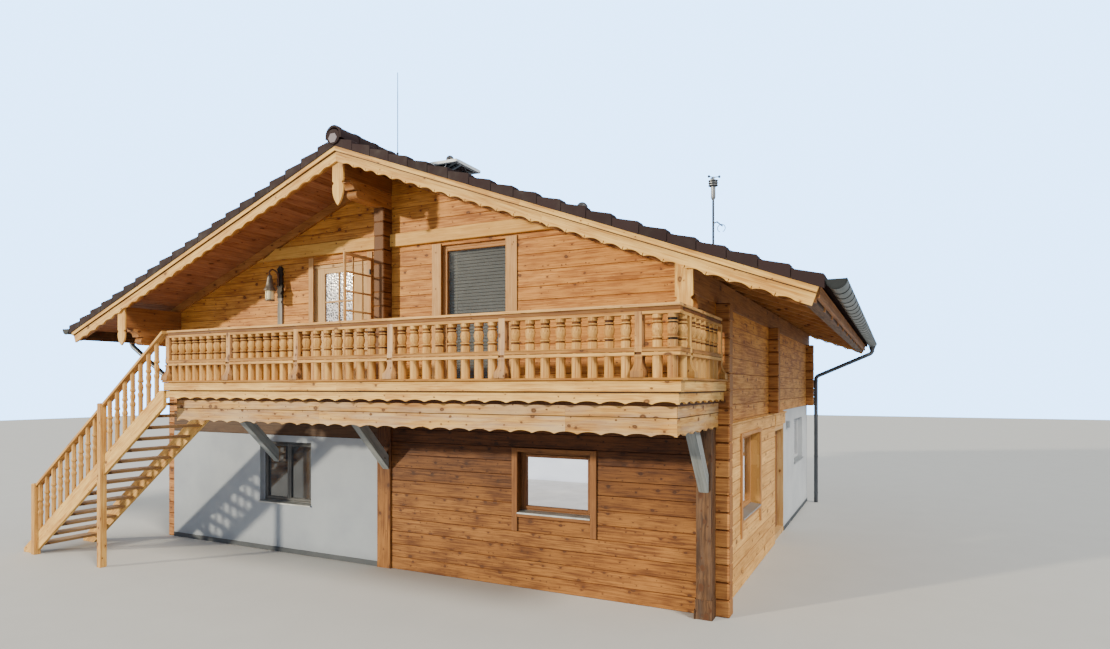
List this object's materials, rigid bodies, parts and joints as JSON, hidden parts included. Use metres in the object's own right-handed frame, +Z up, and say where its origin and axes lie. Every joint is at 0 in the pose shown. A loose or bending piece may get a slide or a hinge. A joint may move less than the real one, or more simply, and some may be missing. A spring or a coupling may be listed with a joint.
{
  "type": "alpine chalet",
  "caption": "Log and plaster chalet with a wide tiled roof on purlins, a balcony with turned balusters, an outside stair and a hinged terrace door.",
  "frame": {"origin": "centre of the ground floor slab's underside, at ground level", "axes": "+X along the front to the right seen from the front, +Y from the front gable to the back, +Z up"},
  "size_m": [13.3, 12.14, 7.347],
  "materials": {
    "floor_concrete": "rough",
    "lower_logs": "oiled",
    "plaster": "matte",
    "dark_timber": "weathered",
    "weathered_timber": "weathered",
    "floor_boards": "oiled",
    "upper_logs": "oiled",
    "log_ends": "oiled",
    "fresh_spruce": "planed",
    "purlin_timber": "oiled",
    "soffit_boards": "oiled",
    "roof_tile": "matte",
    "gutter_metal": "patina",
    "pipe_metal": "satin",
    "railing_spruce": "planed",
    "joinery": "varnished",
    "pane_glass": "clear",
    "blind": "satin",
    "iron": "satin",
    "roof_metal": "satin",
    "mast_steel": "satin"
  },
  "bodies": {
    "house": {"ground_floor_slab": "floor_concrete", "front_wall_timber": "lower_logs", "front_wall_plaster": "plaster", "front_wall_beam": "dark_timber", "middle_post": "dark_timber", "corner_post": "weathered_timber", "right_wall_lower_front": "lower_logs", "right_wall_lower_rear": "plaster", "terrace_door_lintel": "lower_logs", "left_wall_lower": "plaster", "back_wall_lower": "plaster", "upper_floor": "floor_boards", "front_wall_upper": "upper_logs", "right_wall_upper": "upper_logs", "left_wall_upper": "upper_logs", "back_wall_upper": "upper_logs", "log_ends": "log_ends", "gable_log_ends": "log_ends", "lintel_beam": "fresh_spruce", "ridge_purlin": "purlin_timber", "eaves_purlins": "purlin_timber", "purlin_corbels": "purlin_timber", "rafters": "purlin_timber", "roof_boarding": "soffit_boards", "roof_tiles_left": "roof_tile", "roof_tiles_right": "roof_tile", "ridge_tiles": "roof_tile", "front_bargeboards": "fresh_spruce", "back_bargeboards": "fresh_spruce", "purlin_end_boards": "fresh_spruce", "eaves_boards": "fresh_spruce", "gutters": "gutter_metal", "downpipes": "pipe_metal", "balcony_joists": "purlin_timber", "balcony_deck": "fresh_spruce", "balcony_fascia": "fresh_spruce", "balcony_skirt": "fresh_spruce", "balcony_front_railing": "railing_spruce", "balcony_side_railing": "railing_spruce", "balcony_end_railing": "railing_spruce", "balcony_braces": "weathered_timber", "stair_stringers": "fresh_spruce", "stair_treads": "fresh_spruce", "stair_newels": "railing_spruce", "stair_railing": "railing_spruce", "window_frames": "joinery", "window_glass": "pane_glass", "window_trims": "lower_logs", "upper_door": "joinery", "balcony_window_blind": "blind", "lattice_screen": "joinery", "terrace_door_frame": "joinery", "wall_lantern": "iron", "roof_window": "roof_metal", "roof_vents": "roof_metal", "roof_masts": "mast_steel"},
    "terrace_door": {"terrace_door": "joinery", "terrace_door_glass": "pane_glass"}
  },
  "joints": [
    {"name": "terrace_door_hinge", "type": "hinge", "parent": "house", "child": "terrace_door", "pos_m": [4.918, 0.78, 0.35], "axis": [0, 0, -1], "range_deg": [0, 90]}
  ]
}
